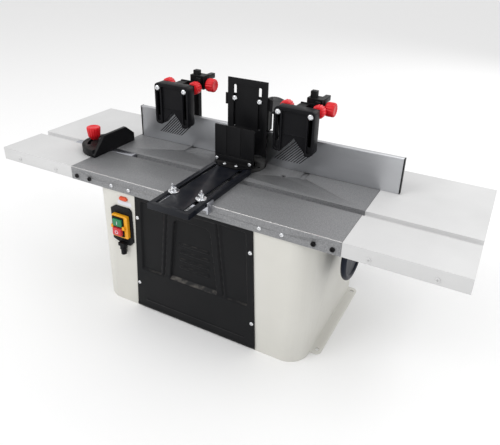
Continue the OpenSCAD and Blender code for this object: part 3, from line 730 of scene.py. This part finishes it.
def set_screws(name, screw, places, finish, seed, body, slot, *nodes):
    """Places are pairs of a point in millimetres and the way that the screw's head looks."""
    mesh = bpy.data.meshes.new(name)
    mesh.from_pydata([tuple(Vector(p) * mm) for p, _ in places], [], [])
    facing = mesh.attributes.new("facing", "FLOAT_VECTOR", "POINT")
    for k, (_, way) in enumerate(places):
        facing.data[k].vector = way
    piece = link(name, mesh)
    setter = piece.modifiers.new("screw_setter", "NODES")
    setter.node_group = screw_setter
    sockets = {s.name: s.identifier for s in screw_setter.interface.items_tree}
    setter[sockets["Screw"]] = screw
    setter[sockets["Finish"]] = finish
    setter[sockets["Turn Seed"]] = seed
    settle(piece)
    return join_frame(piece, body, slot, *nodes)


# ---- The front panel, pressed from one sheet ----


def ease(value, low, high):
    t = min(1.0, max(0.0, (value - low) / (high - low)))
    return t * t * (3 - 2 * t)


def inside_trapezoid(x, z, low_half, top_half, z0, z1, corner):
    """How far a point lies inside a trapezoid with round corners, in millimetres."""
    half = low_half + (top_half - low_half) * (z - z0) / (z1 - z0)
    side, end = half - abs(x), min(z - z0, z1 - z)
    if side > corner or end > corner:
        return min(side, end)
    return corner - math.hypot(corner - side, corner - end)


def pressed_depth(x, z):
    """The depth of the pressed sheet behind its front, at a point of the panel."""
    ledge_low, ledge_high, field_top = 103, 112, 273
    field = inside_trapezoid(x, z, 130.5, 122.8, ledge_low, field_top, 6)
    if field <= 0:
        crease = inside_trapezoid(x, z, 125, 125, 23.5, 28, 2)
        return -1.1 * ease(crease, 0, 2) - 0.8 * ease(z, 12, 9) * ease(z, 3, 5)
    open_field = ease(field, 0, 2.6) * ease(z, ledge_low, ledge_high)
    outer = inside_trapezoid(x, z, 83, 64, 90, 290, 2)
    groove = inside_trapezoid(x, z, 76.5, 57.5, 90, 290, 2)
    band = inside_trapezoid(x, z, 73, 54, 90, 290, 2)
    inner = inside_trapezoid(x, z, 60.5, 42.5, 90, 254, 12)
    depth = 4.0
    depth -= 2.4 * ease(outer, 0, 1.6)
    depth += 2.6 * ease(groove, -0.8, 0.8)
    depth -= 2.6 * ease(band, -0.8, 0.8)
    depth += 6.6 * ease(inner, 0, 2.4)
    for rib_z in (195, 177, 158, 140):
        rib = inside_trapezoid(x - 1, z, 37, 37, rib_z - 4.5, rib_z + 4.5, 4)
        depth -= 2.0 * ease(rib, 0, 2.4)
    return depth * open_field


def panel_half(z):
    """Half the width of the panel at a height: its sides lean in towards the top."""
    return 150 + (137 - 150) * (z - 3) / (280 - 3)


def build_front_panel():
    low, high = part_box("front_panel")
    bottom, top = low.z / mm, high.z / mm
    columns, rows, front = 216, 204, -179.0
    points, faces = [], []
    for r in range(rows + 1):
        z = bottom + (top - bottom) * r / rows
        half = panel_half(z)
        for c in range(columns + 1):
            x = half * (2 * c / columns - 1)
            points.append((x * mm, (front + pressed_depth(x, z)) * mm, z * mm))
    for r in range(rows):
        for c in range(columns):
            a = r * (columns + 1) + c
            faces.append((a, a + 1, a + columns + 2, a + columns + 1))
    mesh = bpy.data.meshes.new("pressed_panel")
    mesh.from_pydata(points, [], faces)
    mesh.polygons.foreach_set("use_smooth", [True] * len(faces))
    mesh.materials.append(panel_black)
    piece = link("pressed_panel", mesh)
    wall = piece.modifiers.new("sheet", "SOLIDIFY")
    wall.thickness = 0.9 * mm
    wall.offset = -1
    settle(piece)
    join_frame(piece, "stand", "black_paint", "front_panel")


# ---- Knobs ----

grip_edge = [(0.0, 11.5), (0.6, 13.2), (2.0, 14.6), (4.0, 15.0)]


def grip(start, length, radius):
    """The outline of a fluted grip with round edges, from a height, in (height, radius) pairs."""
    k = radius / 15.0
    lower = [(start + h, r * k) for h, r in grip_edge]
    upper = [(start + length - h, r * k) for h, r in reversed(grip_edge)]
    cap = [(start + length - 0.1, 9.0 * k), (start + length - 0.9, 7.6 * k)]
    return [*lower, *upper, *cap]


def build_knobs():
    for side in ("left", "right"):
        low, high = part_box(side + "_clamp_knob")
        y, z = (low.y + high.y) / 2 / mm, (low.z + high.z) / 2 / mm
        reach = (high.x - low.x) / mm
        outline = [(0, 3), (18.6, 3), (18.6, 8), (22, 8), *grip(21.2, reach - 21.2, 15)]
        knob = turned_piece(
            side + "_clamp_grip",
            outline,
            (low.x / mm, y, z),
            (1, 0, 0),
            red_moulding,
            flutes=14,
            depth=1.1,
        )
        join_frame(knob, side + "_slide_knob", "red_plastic", side + "_clamp_knob")
        for spot in ("inner", "outer"):
            node = f"{side}_{spot}_knob"
            low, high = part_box(node)
            x, z = (low.x + high.x) / 2 / mm, (low.z + high.z) / 2 / mm
            outline = [(0, 7.9), (3.2, 7.9), *grip(3.2, (high.y - low.y) / mm - 3.2, 14)]
            knob = turned_piece(
                f"{side}_{spot}_grip",
                outline,
                (x, low.y / mm, z),
                (0, 1, 0),
                red_moulding,
                flutes=14,
                depth=1.0,
            )
            join_frame(knob, f"{side}_{spot}", "red_plastic", node)
        node = side + "_fence_knob"
        low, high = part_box(node)
        x, y = (low.x + high.x) / 2 / mm, (low.y + high.y) / 2 / mm
        base = low.z / mm
        washer = 310 - 14 - base
        outline = [(0, 3.2), (0.8, 4), (washer, 4), (washer, 13), (washer + 5.5, 13)]
        outline += [(washer + 5.5, 4), (315.7 - base, 4), (315.7 - base, 9.4), (316.3 - base, 10)]
        outline += [(321.4 - base, 10), *grip(320.8 - base, high.z / mm - 320.8, 18)]
        knob = turned_piece(
            side + "_fence_grip",
            outline,
            (x, y, base),
            (0, 0, 1),
            black_moulding,
            flutes=8,
            depth=2.4,
            flute_over=13.5,
        )
        join_frame(knob, side + "_fence_clamp", "black_plastic", node)
    low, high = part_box("mitre_knob")
    x, y = (low.x + high.x) / 2 / mm, (low.y + high.y) / 2 / mm
    tall = (high.z - low.z) / mm
    skirt = tall - 24
    outline = [(0, 8.6), (0.6, 9), (skirt - 0.2, 9), (skirt, 12.8), (skirt + 1.2, 13.8)]
    outline += [(skirt + 8, 14.6), (skirt + 16, 15.5), (tall - 3, 15.9), (tall - 1.2, 15.4)]
    outline += [(tall - 0.3, 14.2), (tall, 12.6), (tall, 9), (tall - 0.8, 7.8)]
    knob = turned_piece(
        "mitre_grip",
        outline,
        (x, y, low.z / mm),
        (0, 0, 1),
        red_moulding,
        flutes=16,
        depth=0.9,
        flute_over=11,
    )
    join_frame(knob, "gauge_knob", "red_plastic", "mitre_knob")


# ---- Small parts that the frame leaves plain ----


def block(name, low_mm, high_mm, finish, edge_mm=0.4, steps=2):
    """A block between two corners with rounded edges."""
    (x0, y0, z0), (x1, y1, z1) = low_mm, high_mm
    corners = [Vector((x, y, z)) * mm for x in (x0, x1) for y in (y0, y1) for z in (z0, z1)]
    faces = [(0, 1, 3, 2), (4, 6, 7, 5), (0, 4, 5, 1), (2, 3, 7, 6), (0, 2, 6, 4), (1, 5, 7, 3)]
    piece = shell(name, corners, faces, finish)
    round_edges(piece, edge_mm, steps)
    return settle(piece)


def build_fence_caps():
    """Black moulded caps close the outer ends of the two fence faces."""
    for side, way in (("left", -1), ("right", 1)):
        low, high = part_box(side + "_fence")
        low, high = low / mm, high / mm
        end = high.x if way > 0 else low.x
        x0, x1 = sorted((end - 0.1 * way, end + 2.2 * way))
        cap = block(
            side + "_fence_cap",
            (x0, low.y - 0.2, low.z),
            (x1, high.y + 0.2, high.z + 0.4),
            black_moulding,
            0.8,
            3,
        )
        join_frame(cap, side + "_face", "black_plastic")


def build_switch_marks():
    """The I and O marks on the buttons, the housing's latches and the strip below the reset."""
    low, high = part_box("start_button")
    x, z, front = (low.x + high.x) / 2 / mm, (low.z + high.z) / 2 / mm, low.y / mm
    bar_low, bar_high = (x - 0.8, front - 0.12, z - 4), (x + 0.8, front + 0.5, z + 4)
    bar = block("start_mark", bar_low, bar_high, label_white, 0.1)
    join_frame(bar, "start", "white_paint")
    low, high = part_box("stop_button")
    x, z, front = (low.x + high.x) / 2 / mm, (low.z + high.z) / 2 / mm, low.y / mm
    count, points, faces = 32, [], []
    for radius, y in ((3.0, 0.4), (3.0, -0.12), (4.3, -0.12), (4.3, 0.4)):
        for j in range(count):
            angle = math.tau * j / count
            points.append((x + radius * math.cos(angle), front + y, z + radius * math.sin(angle)))
    for i in range(4):
        faces += band(i * count, (i + 1) % 4 * count, count)
    ring = shell("stop_mark", [Vector(p) * mm for p in points], faces, label_white)
    join_frame(ring, "stop", "white_paint")
    for name, x0, x1 in (("left_latch", -196.5, -190.6), ("right_latch", -167.4, -160)):
        latch = block(name, (x0, -192.5, 197.4), (x1, -187.5, 205.6), yellow_moulding, 1.4, 3)
        join_frame(latch, "stand", "yellow_plastic")
    strip = block(
        "reset_strip", (-185, -177.2, 250.5), (-149, -176.9, 259), label_white, 0.08, 1
    )
    join_frame(strip, "stand", "white_paint")


# ---- The whole object ----


def build_screws():
    pan = screw_head(
        "pan_screw",
        [(0, 4.1), (0.9, 4.2), (1.7, 3.8), (2.3, 3.0)],
        cross_recess(2.3, 0.5),
        1.1,
        0.72,
        zinc_plate,
    )
    cap = screw_head(
        "cap_screw",
        [(0, 4.5), (2.4, 4.6), (2.9, 4.2), (3.0, 3.9)],
        hex_recess(2.0),
        1.6,
        0.85,
        black_enamel,
    )
    bolt = screw_head(
        "guard_bolt",
        [(0, 5.8), (1.3, 5.9), (2.5, 4.9), (3.1, 3.6)],
        cross_recess(3.0, 0.65),
        1.3,
        0.62,
        zinc_plate,
        2.6,
        12,
    )
    front, back, edge_to_screw = (0, -1, 0), (0, 1, 0), 6.5
    places = [
        ((s * (panel_half(z) - edge_to_screw), -179, z), front) for s in sides for z in (232, 67)
    ]
    places += [((s * x, -180, 291), front) for s in sides for x in (150, 195)]
    places += [((s * 234, 121.6, z), back) for s in sides for z in (20, 140, 260)]
    set_screws("panel_screws", pan, places, zinc_plate, 4, "stand", "zinc_plate", "pan_screws")
    ends = [(-180, front), (180, back)]
    places = [((s * x, y, 291), way) for s in sides for y, way in ends for x in (255, 290)]
    set_screws("table_cap_screws", cap, places, black_enamel, 7, "stand", "black_paint")
    places = [((s * x, y, 291), way) for s in sides for y, way in ends for x in (353, 464)]
    set_screws(
        "tray_screws", pan, places, white_enamel, 9, "stand", "white_paint", "rail_screws"
    )
    places = [((s * 30, 42.7, 450), front) for s in sides]
    set_screws("guard_bolts", bolt, places, zinc_plate, 3, "fence", "zinc_plate", "guard_screws")
    places = [((s * 40, -15, 330), front) for s in sides]
    places += [((s * 14, -26, 325), (0, 0, 1)) for s in sides]
    set_screws("shoe_bolts", pan, places, zinc_plate, 5, "shoe", "zinc_plate", "shoe_screws")
    for side, x, z in (("left", -168, 456), ("right", 128, 452)):
        places = [((x + s * 35, -0.3, z), front) for s in sides]
        set_screws(side + "_comb_bolts", bolt, places, zinc_plate, 6, side + "_reach", "zinc_plate")
    for maker in (pan, cap, bolt):
        bpy.data.objects.remove(maker)


def build_softened():
    """Every shown node whose edges are rounded: its slot, its finish and how far, in millimetres."""
    build_main_table()
    for side in ("left", "right"):
        softened(side + "_extension", "white_paint", white_enamel, 0.9, 3)
        softened(side + "_leg", "cream_paint", cream_enamel, 0.5)
        softened(side + "_fence", "fence_alloy", satin_alloy, 0.35)
        softened(side + "_comb", "black_plastic", black_moulding, 0.6)
        softened(side + "_arm", "black_paint", black_enamel, 0.4, cut_y=-0.15)
        softened(side + "_clamp", "black_paint", black_enamel, 0.6)
        softened(side + "_wing_nut", "zinc_plate", zinc_plate, 0.35)
    black_paint = {
        "table_insert": 0.4,
        "rear_panel": 0.3,
        "shoe_angle": 0.4,
        "shoe_plate": 0.4,
        "guard_plate": 0.4,
        "guard_bracket": 0.4,
        "fence_base": 0.5,
        "mitre_head": 0.8,
    }
    for node, edge_mm in black_paint.items():
        softened(node, "black_paint", black_enamel, edge_mm)
    for node, edge_mm, steps in (
        ("switch_plate", 1.0, 3),
        ("cable_gland", 0.5, 2),
        ("dust_hood", 0.8, 3),
        ("crank_handle", 0.6, 2),
    ):
        softened(node, "black_plastic", black_moulding, edge_mm, steps)
    softened("shoe_carrier", "black_plastic", channel_black, 0.5)
    softened("handwheel", "navy_paint", navy_enamel, 0.6)
    softened("switch_housing", "yellow_plastic", yellow_moulding, 0.9, 3)
    softened("start_button", "green_plastic", green_moulding, 1.6, 3)
    softened("stop_button", "red_plastic", stop_moulding, 2.0, 3)
    softened("reset_button", "orange_plastic", orange_moulding, 1.2, 3)
    softened("shoe_guide", "bright_steel", drawn_bar, 0.4)
    softened("mitre_bar", "bright_steel", drawn_bar, 0.3)


def finish_hidden_nodes():
    steel = ("extension_rails", "guide_columns", "lead_screw", "cross_shaft", "spindle")
    for node in (*steel, "cutter", "collet_nut"):
        finish_node(node, turned_steel)
    for node in ("gear_bracket", "motor_carriage"):
        finish_node(node, cast_alloy)
    finish_node("shaft_bush", turned_bronze)
    finish_node("motor", black_enamel)


set_camera()
set_lights()
set_floor()
build_softened()
finish_hidden_nodes()
build_front_panel()
build_knobs()
build_screws()
build_fence_caps()
build_switch_marks()
